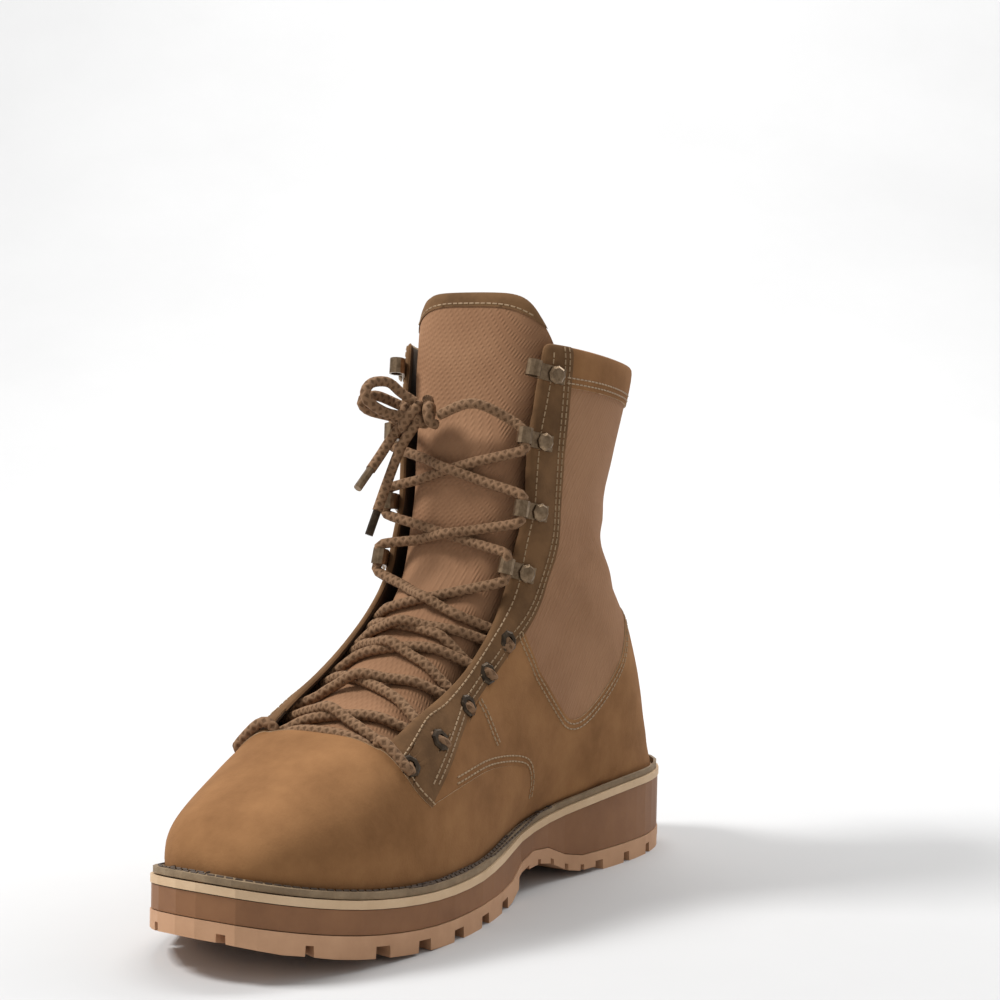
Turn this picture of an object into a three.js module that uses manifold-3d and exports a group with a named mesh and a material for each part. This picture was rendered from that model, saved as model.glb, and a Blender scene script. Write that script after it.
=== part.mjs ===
// Combat boot for the right foot, size about EU 42: hollow leather and nylon upper on a
// stitched welt, with a wedge midsole, a lugged outsole, tongue, insole, eyelets, lace clips and lace.
// Millimetres, +Z up, toe towards -Y, inner (medial) side towards +X, standing on Z = 0.
import * as THREE from 'three';
import { mergeVertices } from 'three/addons/utils/BufferGeometryUtils.js';
import Module from 'manifold-3d';

const wasm = await Module();
wasm.setup();

// ---------------------------------------------------------------- driving dimensions
const SOLE_LENGTH = 310;
const TOE_Y = -SOLE_LENGTH / 2;
const GAP = 0.3;                 // between two pieces that meet
const TOE_SPRING = 13.5;         // lift of the toe tip above the floor
const SPRING_START = 95;         // distance from the toe tip where the lift begins
const LUG_DEPTH = 4.4;
const OUTSOLE_THICKNESS = 8.3;
const RUNNER_THICKNESS = 3.1;
const FOREFOOT_STACK = 20.8;     // floor to the top of the runner, under the ball
const HEEL_STACK = 35.1;         // the same under the heel
const WEDGE_FROM = 105;          // distances from the toe tip between which the wedge rises
const WEDGE_TO = 265;
const ARCH_RISE = 8;             // how far the waist is hollowed above the floor
const ARCH_FROM = 150;
const ARCH_TO = 214;
const WELT_THICKNESS = 2.4;
const FRONT_LEDGE = 6.6;         // welt showing outside the upper, round the toe and ball
const REAR_LEDGE = 4.2;          // the same round the waist and heel
const WALL = 2.2;                // leather and lining together
const TONGUE_THICKNESS = 3.6;
const INSOLE_THICKNESS = 3.2;
const LACE_RADIUS = 2.1;
const SHAFT_X = 3.1;             // centre plane of the shaft and throat

// Outline of the sole in plan: distance from the toe tip, inner and outer edge.
const SOLE_ROWS = [
  { along: 0, medial: -1.5, lateral: -1.5 },
  { along: 3, medial: 17.7, lateral: -12.9 },
  { along: 10, medial: 27.5, lateral: -23.0 },
  { along: 22, medial: 35.7, lateral: -32.3 },
  { along: 40, medial: 43.8, lateral: -40.4 },
  { along: 62, medial: 48.8, lateral: -46.6 },
  { along: 88, medial: 51.3, lateral: -50.8 },
  { along: 116, medial: 49.2, lateral: -51.3 },
  { along: 144, medial: 43.0, lateral: -46.6 },
  { along: 170, medial: 36.2, lateral: -39.9 },
  { along: 196, medial: 35.4, lateral: -34.7 },
  { along: 222, medial: 39.5, lateral: -33.2 },
  { along: 248, medial: 42.2, lateral: -32.4 },
  { along: 272, medial: 41.5, lateral: -30.1 },
  { along: 291, medial: 35.9, lateral: -24.6 },
  { along: 303, medial: 26.5, lateral: -15.2 },
  { along: 310, medial: 6.5, lateral: 6.5 },
];

// Sections of the last from the toe to the collar. Each lies in a plane through a front point
// on the ridge of the foot or shin and a back point under the foot or up the heel. The half
// widths are of its widest place, whose level is a share of the way from back to front; rear
// and front are the powers of the two arcs, and gap is centre plane to facing edge.
const LAST_ROWS = [
  { frontY: -148.2, frontZ: 33, backY: -148.2, centre: -1.5, level: 0.5, rear: 2, front: 2, gap: 27 },
  { frontY: -147.5, frontZ: 39, backY: -147.6, centre: -1.5, level: 0.4, rear: 2, front: 2.3, gap: 27 },
  { frontY: -145.6, frontZ: 43.8, backY: -146, centre: -1.4, level: 0.34, rear: 2, front: 2.4, gap: 27 },
  { frontY: -142, frontZ: 48.3, backY: -142.6, centre: -1, level: 0.3, rear: 2, front: 2.4, gap: 27 },
  { frontY: -136, frontZ: 53, backY: -137, centre: -0.5, level: 0.28, rear: 2, front: 2.4, gap: 27 },
  { frontY: -127, frontZ: 57.3, backY: -128.5, centre: 0.3, level: 0.26, rear: 2, front: 2.4, gap: 27 },
  { frontY: -114.5, frontZ: 62.3, backY: -116, centre: 1.2, level: 0.24, rear: 2, front: 2.45, gap: 27 },
  { frontY: -99, frontZ: 68.2, backY: -100, centre: 2.2, level: 0.22, rear: 2, front: 2.6, gap: 27 },
  { frontY: -79.5, frontZ: 76.5, backY: -81, centre: 3.1, level: 0.2, rear: 2, front: 2.8, gap: 27 },
  { frontY: -61, frontZ: 87.5, backY: -61, centre: 3.1, medial: 42.5, lateral: 47.5,
    level: 0.18, rear: 2, front: 2.9, gap: 28.5 },
  { frontY: -43, frontZ: 95.5, backY: -38, centre: 3.1, medial: 41, lateral: 48,
    level: 0.18, rear: 2, front: 2.9, gap: 29 },
  { frontY: -26.5, frontZ: 108, backY: -12, centre: 3.1, medial: 37.5, lateral: 44.5,
    level: 0.2, rear: 2, front: 2.9, gap: 29 },
  { frontY: -13, frontZ: 120.5, backY: 15, centre: 3.1, medial: 35.5, lateral: 40,
    level: 0.3, rear: 2, front: 3.1, gap: 29 },
  { frontY: -6, frontZ: 128, backY: 44, centre: 3.1, medial: 35, lateral: 38,
    level: 0.38, rear: 2, front: 3.4, gap: 29 },
  { frontY: -1.5, frontZ: 135, backY: 74, centre: 3.1, medial: 35.5, lateral: 37,
    level: 0.44, rear: 2, front: 3.6, gap: 29 },
  { frontY: 1, frontZ: 142.5, backY: 102, centre: 3.3, medial: 35.5, lateral: 37.5,
    level: 0.48, rear: 2.1, front: 3.8, gap: 29 },
  { frontY: 1, frontZ: 152, backY: 126, centre: 3.8, medial: 35.5, lateral: 37,
    level: 0.5, rear: 2.2, front: 3.9, gap: 29.5 },
  { frontY: 1.5, frontZ: 160, backY: 142, centre: 4.6, medial: 35.5, lateral: 36.5,
    level: 0.52, rear: 2.2, front: 4, gap: 30 },
  { frontY: 1.5, frontZ: 167.5, backY: 150.2, centre: 5.6, medial: 35.5, lateral: 36.5,
    level: 0.53, rear: 2.1, front: 4, gap: 30 },
  { frontY: 2, frontZ: 174.5, backY: 150.6, backZ: 50, centre: 5.2, medial: 35.5, lateral: 36.5,
    level: 0.53, rear: 2, front: 4, gap: 30.5 },
  { frontY: 2.5, frontZ: 181, backY: 147, backZ: 66, centre: 4.6, medial: 35.5, lateral: 36,
    level: 0.53, rear: 1.9, front: 4, gap: 30.5 },
  { frontY: 5, frontZ: 186.5, backY: 135.5, backZ: 83, centre: 4, medial: 36, lateral: 36,
    level: 0.54, rear: 1.75, front: 4, gap: 31 },
  { frontY: 7.5, frontZ: 191.5, backY: 121.5, backZ: 100, centre: 3.5, medial: 36.5, lateral: 36.5,
    level: 0.55, rear: 1.65, front: 3.9, gap: 31 },
  { frontY: 9.5, frontZ: 197.5, backY: 113, backZ: 118, centre: 3.1, medial: 37, lateral: 37,
    level: 0.55, rear: 1.6, front: 3.8, gap: 31.5 },
  { frontY: 10.5, frontZ: 203, backY: 110.5, backZ: 137, centre: 3.1, medial: 38, lateral: 38,
    level: 0.55, rear: 1.65, front: 3.6, gap: 32 },
  { frontY: 11.5, frontZ: 208.5, backY: 111.5, backZ: 157, centre: 3.1, medial: 39, lateral: 39,
    level: 0.54, rear: 1.75, front: 3.4, gap: 32 },
  { frontY: 12, frontZ: 214, backY: 115, backZ: 176.5, centre: 3.1, medial: 40, lateral: 40,
    level: 0.53, rear: 1.9, front: 3.2, gap: 32.5 },
  { frontY: 12.5, frontZ: 219.5, backY: 119.5, backZ: 194.5, centre: 3.1, medial: 41, lateral: 41,
    level: 0.52, rear: 2, front: 3.1, gap: 33 },
  { frontY: 13.5, frontZ: 224.5, backY: 124, backZ: 212, centre: 3.1, medial: 41.5, lateral: 41.5,
    level: 0.52, rear: 2.1, front: 3.1, gap: 33 },
  { frontY: 16, frontZ: 245.5, backY: 130, backZ: 236, centre: 3.1, medial: 41.5, lateral: 41.5,
    level: 0.52, rear: 2.1, front: 3.1, gap: 33 },
];
const THROAT_ROW = 8;            // front end of the throat: the vamp's edge
const HEEL_ROW = 18;             // the back point reaches the heel's end on the sole
const COLLAR_ROW = 28;
const TONGUE_END_ROW = 29;
const WALL_SWELL = 1.4;          // how far the lower wall stands out past the sole line

// ---------------------------------------------------------------- finishes
function finish(colour, roughness, metalness = 0) {
  return new THREE.MeshStandardMaterial({ color: colour, roughness, metalness });
}
const ROUGHOUT = () => finish(0x8a5f3c, 0.95);
const NYLON = () => finish(0x9a7350, 0.9);
const RUBBER_BROWN = () => finish(0x8b5532, 0.8);
const RUBBER_TAN = () => finish(0xb98d62, 0.75);
const CREAM_EDGE = () => finish(0xe2c291, 0.7);
const WELT_GREY = () => finish(0x8e7a5e, 0.8);
const METAL = () => finish(0x7d6a56, 0.4, 0.85);
const EYELET_BROWN = () => finish(0x3b2c20, 0.45, 0.7);
const LACE = () => finish(0x7d5f42, 0.9);

// ---------------------------------------------------------------- small helpers
function smooth(value, from, to) {
  const share = THREE.MathUtils.clamp((value - from) / (to - from), 0, 1);
  return share * share * (3 - 2 * share);
}

// A smooth value read from a table column at a row number that need not be whole.
function column(rows, name, at) {
  const last = rows.length - 1;
  const index = THREE.MathUtils.clamp(Math.floor(at), 0, last - 1);
  const share = at - index;
  const [a, b, c, d] = [-1, 0, 1, 2].map((step) => {
    return rows[THREE.MathUtils.clamp(index + step, 0, last)][name];
  });
  const bend = (2 * b + (c - a) * share + (2 * a - 5 * b + 4 * c - d) * share ** 2
    + (3 * b - a - 3 * c + d) * share ** 3);
  return bend / 2;
}

function geometryFrom(points, faces) {
  const geometry = new THREE.BufferGeometry();
  geometry.setAttribute('position', new THREE.Float32BufferAttribute(points.flat(), 3));
  geometry.setIndex(faces.flat());
  const merged = mergeVertices(geometry, 1e-4);
  const index = [...merged.index.array];
  const kept = [];
  for (let i = 0; i < index.length; i += 3) {
    const [a, b, c] = index.slice(i, i + 3);
    if (a !== b && b !== c && a !== c) kept.push(a, b, c);
  }
  merged.setIndex(kept);
  return merged;
}

// Closed body through a row of loops with equal point counts; ends are fanned shut.
function loft(loops, closedRound = false) {
  const count = loops[0].length;
  const points = loops.flat();
  const faces = [];
  const bands = closedRound ? loops.length : loops.length - 1;
  for (let i = 0; i < bands; i += 1) {
    const here = i * count;
    const next = ((i + 1) % loops.length) * count;
    for (let j = 0; j < count; j += 1) {
      const k = (j + 1) % count;
      faces.push([here + j, next + j, next + k], [here + j, next + k, here + k]);
    }
  }
  if (!closedRound) {
    const end = (loops.length - 1) * count;
    for (let j = 1; j < count - 1; j += 1) {
      faces.push([0, j, j + 1], [end, end + j + 1, end + j]);
    }
  }
  return outward(geometryFrom(points, faces));
}

// Turns a closed mesh's faces outwards if its volume comes out negative.
function outward(geometry) {
  const place = geometry.getAttribute('position');
  const index = geometry.index.array;
  const [a, b, c] = [new THREE.Vector3(), new THREE.Vector3(), new THREE.Vector3()];
  let volume = 0;
  for (let i = 0; i < index.length; i += 3) {
    a.fromBufferAttribute(place, index[i]);
    b.fromBufferAttribute(place, index[i + 1]);
    c.fromBufferAttribute(place, index[i + 2]);
    volume += a.dot(b.cross(c));
  }
  if (volume < 0) {
    for (let i = 0; i < index.length; i += 3) {
      [index[i], index[i + 1]] = [index[i + 1], index[i]];
    }
  }
  return geometry;
}

function solid(geometry) {
  const bare = geometry.clone();
  bare.deleteAttribute('normal');
  bare.deleteAttribute('uv');
  const merged = mergeVertices(bare, 1e-4);
  return new wasm.Manifold(new wasm.Mesh({
    numProp: 3,
    vertProperties: new Float32Array(merged.getAttribute('position').array),
    triVerts: new Uint32Array(merged.index.array),
  }));
}

function fromSolid(body) {
  const mesh = body.getMesh();
  const geometry = new THREE.BufferGeometry();
  geometry.setAttribute('position', new THREE.BufferAttribute(new Float32Array(mesh.vertProperties), 3));
  geometry.setIndex([...mesh.triVerts]);
  return geometry;
}

const boot = new THREE.Group();
boot.name = 'combat_boot';

function place(name, geometry, material) {
  const mesh = new THREE.Mesh(geometry, material);
  mesh.name = name;
  boot.add(mesh);
  return mesh;
}

// ---------------------------------------------------------------- sole heights and outline
const spring = (y) => TOE_SPRING * Math.max(0, (SPRING_START - (y - TOE_Y)) / SPRING_START) ** 2;
const runnerTop = (y) => {
  const rise = HEEL_STACK - FOREFOOT_STACK;
  return spring(y) + FOREFOOT_STACK + rise * smooth(y - TOE_Y, WEDGE_FROM, WEDGE_TO);
};
const runnerBottom = (y) => runnerTop(y) - RUNNER_THICKNESS;
const outsoleTop = (y) => spring(y) + OUTSOLE_THICKNESS + archRise(y);

// The waist is hollow between forefoot and heel, so the outsole arches over it.
function archRise(y) {
  const along = y - TOE_Y;
  const ramp = 28;
  return ARCH_RISE * smooth(along, ARCH_FROM, ARCH_FROM + ramp) * (1 - smooth(along, ARCH_TO - ramp, ARCH_TO));
}

const rim = new THREE.CatmullRomCurve3([
  ...SOLE_ROWS.map((row) => new THREE.Vector3(row.medial, TOE_Y + row.along, 0)),
  ...SOLE_ROWS.slice(1, -1).reverse().map((row) => new THREE.Vector3(row.lateral, TOE_Y + row.along, 0)),
], true, 'centripetal');
const RIM_STEPS = 360;
const rimPoints = Array.from({ length: RIM_STEPS }, (_, i) => rim.getPointAt(i / RIM_STEPS));
const rimInward = Array.from({ length: RIM_STEPS }, (_, i) => {
  const along = rim.getTangentAt(i / RIM_STEPS);
  return new THREE.Vector3(-along.y, along.x, 0);
});

const ledge = (y) => {
  return FRONT_LEDGE + (REAR_LEDGE - FRONT_LEDGE) * smooth(y - TOE_Y, 110, 215);
};

// The sole's edge moved inwards, as one list of [y, x] for each side, toe to heel.
function edgeLines(inset) {
  const moved = rimPoints.map((point, i) => {
    const depth = typeof inset === 'function' ? inset(point.y) : inset;
    return point.clone().addScaledVector(rimInward[i], depth);
  });
  const ys = moved.map((point) => point.y);
  const toe = ys.indexOf(Math.min(...ys));
  const heel = ys.indexOf(Math.max(...ys));
  const walk = (from, to) => {
    const line = [];
    for (let i = from; i !== to; i = (i + 1) % RIM_STEPS) line.push([moved[i].y, moved[i].x]);
    line.push([moved[to].y, moved[to].x]);
    return line;
  };
  return { medial: walk(toe, heel), lateral: walk(heel, toe).reverse() };
}

function readLine(line, y) {
  let low = 0;
  let high = line.length - 1;
  while (high - low > 1) {
    const middle = (low + high) >> 1;
    if (line[middle][0] <= y) low = middle;
    else high = middle;
  }
  const share = THREE.MathUtils.clamp((y - line[low][0]) / (line[high][0] - line[low][0] || 1), 0, 1);
  return line[low][1] + (line[high][1] - line[low][1]) * share;
}

// Flat layer of the sole between two heights, inset from the sole's edge.
const SLAB_ROWS = 34;
function slab(inset, low, high) {
  const edges = edgeLines(inset);
  const from = edges.medial[0][0] + 0.25;
  const to = edges.medial.at(-1)[0] - 0.25;
  const loops = [];
  for (let i = 0; i <= SLAB_ROWS; i += 1) {
    const share = i / SLAB_ROWS;
    const even = 0.35 * share + 0.65 * (1 - Math.cos(Math.PI * share)) / 2;
    const y = from + (to - from) * even;
    const [inner, outer] = [readLine(edges.medial, y), readLine(edges.lateral, y)];
    loops.push([[outer, y, low(y)], [inner, y, low(y)], [inner, y, high(y)], [outer, y, high(y)]]);
  }
  return loft(loops);
}

// ---------------------------------------------------------------- surface of the last
const soleLine = edgeLines(ledge);
const swell = (row) => WALL_SWELL * smooth(row, 0, 2);
const upperBase = (y) => runnerTop(y) + 2 * GAP;

// The bare section at a row number: its plane, and its half widths on one side.
function sectionAt(row, side) {
  const backY = column(LAST_ROWS, 'backY', row);
  const centre = column(LAST_ROWS, 'centre', row);
  const onSole = row <= HEEL_ROW;
  const backZ = onSole ? upperBase(backY) : column(LAST_ROWS, 'backZ', row);
  const edge = readLine(side > 0 ? soleLine.medial : soleLine.lateral, backY);
  const base = onSole ? Math.max(0, side * (edge - centre)) : 0;
  const name = side > 0 ? 'medial' : 'lateral';
  const widest = row <= THROAT_ROW ? base + swell(row) : column(LAST_ROWS, name, row);
  return {
    back: [backY, backZ],
    front: [column(LAST_ROWS, 'frontY', row), column(LAST_ROWS, 'frontZ', row)],
    centre,
    base,
    widest,
    level: column(LAST_ROWS, 'level', row),
    rear: column(LAST_ROWS, 'rear', row),
    nose: column(LAST_ROWS, 'front', row),
  };
}

// The rows on the sole carry the sole's own height, and the ones ahead of the throat
// the sole's own width, so that the table's columns run on smoothly past both.
for (const row of LAST_ROWS.slice(0, HEEL_ROW + 1)) row.backZ = upperBase(row.backY);
LAST_ROWS.slice(0, THROAT_ROW + 1).forEach((row, i) => {
  row.medial = readLine(soleLine.medial, row.backY) - row.centre + swell(i);
  row.lateral = row.centre - readLine(soleLine.lateral, row.backY) + swell(i);
});
LAST_ROWS[0].frontZ = LAST_ROWS[0].backZ;

// Point of the last. turn runs from -1 at the back or sole line, through 0 at the widest
// place, to 1 on the front ridge.
function lastPoint(row, turn, side) {
  const cut = sectionAt(row, side);
  const quarter = Math.PI / 2;
  let share;
  let width;
  if (turn < 0) {
    const power = 2 / cut.rear;
    const start = Math.asin(Math.min(cut.base / cut.widest, 0.99999) ** (1 / power));
    const angle = start + (quarter - start) * (1 + turn);
    share = cut.level * (1 - (Math.cos(angle) / Math.cos(start)) ** power);
    width = cut.widest * Math.sin(angle) ** power;
  } else {
    const power = 2 / cut.nose;
    const angle = turn * quarter;
    share = cut.level + (1 - cut.level) * Math.sin(angle) ** power;
    width = cut.widest * Math.cos(angle) ** power;
  }
  return new THREE.Vector3(
    cut.centre + side * width,
    THREE.MathUtils.lerp(cut.back[0], cut.front[0], share),
    THREE.MathUtils.lerp(cut.back[1], cut.front[1], share),
  );
}

// The turn at which the section is as narrow as the throat's half gap.
function facingTurn(row, side, extra = 0) {
  const cut = sectionAt(row, side);
  const share = THREE.MathUtils.clamp((column(LAST_ROWS, 'gap', row) + extra) / cut.widest, 0.05, 0.999);
  return Math.acos(share ** (cut.nose / 2)) / (Math.PI / 2);
}

function lastNormal(row, turn, side) {
  const step = 0.02;
  const low = Math.max(0.05, row - step);
  const high = Math.min(TONGUE_END_ROW, row + step);
  const left = Math.max(-0.995, turn - step);
  const right = Math.min(0.995, turn + step);
  const along = lastPoint(high, turn, side).sub(lastPoint(low, turn, side));
  const across = lastPoint(row, right, side).sub(lastPoint(row, left, side));
  return along.cross(across).multiplyScalar(side).normalize();
}

// Point at a depth inside the last's surface; negative depths stand proud of it.
function wallPoint(row, turn, side, depth) {
  const normal = lastNormal(row, turn, side);
  if (row < 0.2) normal.set(0, -1, 0);
  if (Math.abs(turn) > 0.995) {
    normal.x = 0;
    normal.normalize();
  }
  if (turn < -0.995 && row < HEEL_ROW) {
    normal.set(lastNormal(row, -0.9, side).x, lastNormal(row, -0.9, side).y, 0).normalize();
  }
  const point = lastPoint(row, turn, side).addScaledVector(normal, -depth);
  point.z = Math.max(point.z, upperBase(point.y));
  return point;
}

// ---------------------------------------------------------------- upper
const UPPER_ROWS = [0, 0.5, 1, 1.5, 2, 2.5, 3, 4, 5, 6, 7, 8, 9, 10, 11, 12, 13, 14, 15, 16, 17, 18,
  19, 20, 21, 22, 23, 24, 25, 26, 27, 28];
const REAR_STEPS = 4;            // sole line or back seam to the widest place
const FRONT_STEPS = 7;           // widest place to the facing edge
const CENTRE_STEPS = 4;          // facing edge line to the ridge, on the vamp only
const SIDE_STEPS = REAR_STEPS + FRONT_STEPS + CENTRE_STEPS;

// The turn of one grid column at a row, from the sole line (0) to the ridge (SIDE_STEPS).
function columnTurn(row, step, side) {
  const facing = facingTurn(Math.max(row, THROAT_ROW), side);
  if (step <= REAR_STEPS) return -1 + step / REAR_STEPS;
  if (step <= REAR_STEPS + FRONT_STEPS) return facing * (step - REAR_STEPS) / FRONT_STEPS;
  return facing + (1 - facing) * (step - REAR_STEPS - FRONT_STEPS) / CENTRE_STEPS;
}

// Body of even thickness from a grid of outer and inner points. cells(i, j) says which
// grid cells are leather; every open edge gets a rim. Points in one small cell are one point.
const WELD_STEP = 0.2;
function shell(rows, columns, outerPoint, innerPoint, cells) {
  const keys = new Map();
  const outer = [];
  const inner = [];
  const at = rows.map((_, i) => columns.map((_, j) => {
    const point = outerPoint(i, j);
    const key = point.toArray().map((value) => Math.round(value / WELD_STEP)).join();
    if (!keys.has(key)) {
      keys.set(key, outer.length);
      outer.push(point.toArray());
      inner.push(innerPoint(i, j).toArray());
    }
    return keys.get(key);
  }));
  const faces = [];
  const add = (a, b, c) => {
    if (a !== b && b !== c && a !== c) faces.push([a, b, c]);
  };
  for (let i = 0; i < rows.length - 1; i += 1) {
    for (let j = 0; j < columns.length - 1; j += 1) {
      if (!cells(i, j)) continue;
      const [a, b, c, d] = [at[i][j], at[i + 1][j], at[i + 1][j + 1], at[i][j + 1]];
      if (j < columns.length / 2) {
        add(a, b, c);
        add(a, c, d);
      } else {
        add(a, b, d);
        add(b, c, d);
      }
    }
  }
  // Where an open section lies next to a closed one, a last face joins the open one's ends.
  const end = columns.length - 1;
  for (let i = 0; i < rows.length - 1; i += 1) {
    const closes = at[i + 1][0] === at[i + 1][end] && at[i][0] !== at[i][end];
    if (closes) add(at[i][end], at[i + 1][0], at[i][0]);
  }
  const edges = new Set(faces.flatMap(([a, b, c]) => [`${a},${b}`, `${b},${c}`, `${c},${a}`]));
  const count = outer.length;
  const walls = [];
  for (const edge of edges) {
    const [a, b] = edge.split(',').map(Number);
    if (edges.has(`${b},${a}`)) continue;
    walls.push([b, a, a + count], [b, a + count, b + count]);
  }
  const lining = faces.map(([a, b, c]) => [a + count, c + count, b + count]);
  return outward(geometryFrom([...outer, ...inner], [...faces, ...walls, ...lining]));
}

const upperColumns = Array.from({ length: 2 * SIDE_STEPS + 1 }, (_, j) => {
  return j <= SIDE_STEPS ? { side: 1, step: j } : { side: -1, step: 2 * SIDE_STEPS - j };
});
function upperPoint(i, j, depth) {
  const row = UPPER_ROWS[i];
  const { side, step } = upperColumns[j];
  return wallPoint(row, columnTurn(row, step, side), side, depth);
}
const upperGeometry = shell(
  UPPER_ROWS,
  upperColumns,
  (i, j) => upperPoint(i, j, 0),
  (i, j) => upperPoint(i, j, WALL),
  (i, j) => {
    const inThroat = j >= REAR_STEPS + FRONT_STEPS && j < 2 * SIDE_STEPS - REAR_STEPS - FRONT_STEPS;
    return !(inThroat && UPPER_ROWS[i] >= THROAT_ROW);
  },
);

// ---------------------------------------------------------------- tongue
const TONGUE_START_ROW = 6.6;
const TONGUE_ROWS = 22;
const TONGUE_HALF_STEPS = 5;
const TONGUE_UNDERLAP = 7;       // how far the tongue reaches past each facing edge, under it
const TONGUE_BARE_REACH = 3;     // the same above the collar, where nothing holds it in
const TONGUE_CORNER_DROP = { medial: 0.9, lateral: 0.6 };  // rows the top edge falls by
const TONGUE_DEPTH = WALL + 1.3;  // tongue's face below the wall's face, on the ridge
const TONGUE_SINK = 3.6;            // and this much lower near the facings, to clear the lace

function tonguePoint(i, j, depth) {
  const across = (j - TONGUE_HALF_STEPS) / TONGUE_HALF_STEPS;
  const side = across < 0 ? 1 : -1;
  const drop = side > 0 ? TONGUE_CORNER_DROP.medial : TONGUE_CORNER_DROP.lateral;
  const end = TONGUE_END_ROW - drop * Math.abs(across) ** 3;
  const row = TONGUE_START_ROW + (end - TONGUE_START_ROW) * i / TONGUE_ROWS;
  const bare = smooth(row, COLLAR_ROW - 2, COLLAR_ROW + 0.5);
  const underlap = TONGUE_UNDERLAP + (TONGUE_BARE_REACH - TONGUE_UNDERLAP) * bare;
  const edge = facingTurn(Math.max(row, THROAT_ROW), side, underlap);
  const sink = TONGUE_SINK * smooth(Math.abs(across), 0.1, 0.7) * (1 - smooth(row, 22, 26));
  return wallPoint(row, 1 + (edge - 1) * Math.abs(across), side, depth + sink);
}
place('tongue', shell(
  Array.from({ length: TONGUE_ROWS + 1 }),
  Array.from({ length: 2 * TONGUE_HALF_STEPS + 1 }),
  (i, j) => tonguePoint(i, j, TONGUE_DEPTH),
  (i, j) => tonguePoint(i, j, TONGUE_DEPTH + TONGUE_THICKNESS),
  () => true,
), NYLON());

// ---------------------------------------------------------------- sole stack
// Lugs in plan, as [x, distance from the toe tip]; sides that reach the sole's edge run past it
// and are trimmed by it. depth is how far the lug stands down from the sole's plate.
const LUG_DRAFT = 0.7;
const PAST_EDGE = 70;
const plateBottom = (y) => spring(y) + LUG_DEPTH + archRise(y);

function lug(corners, depth = LUG_DEPTH) {
  const middle = corners.reduce((sum, [x, along]) => [sum[0] + x / corners.length, sum[1] + along / corners.length], [0, 0]);
  const low = corners.map(([x, along]) => {
    const reach = Math.hypot(x - middle[0], along - middle[1]);
    const shrink = (reach - LUG_DRAFT) / reach;
    const y = TOE_Y + middle[1] + (along - middle[1]) * shrink;
    return [middle[0] + (x - middle[0]) * shrink, y, plateBottom(y) - depth];
  });
  const high = corners.map(([x, along]) => {
    const y = TOE_Y + along;
    return [x, y, plateBottom(y) + 1.2];
  });
  return solid(loft([low, high]));
}

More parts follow.
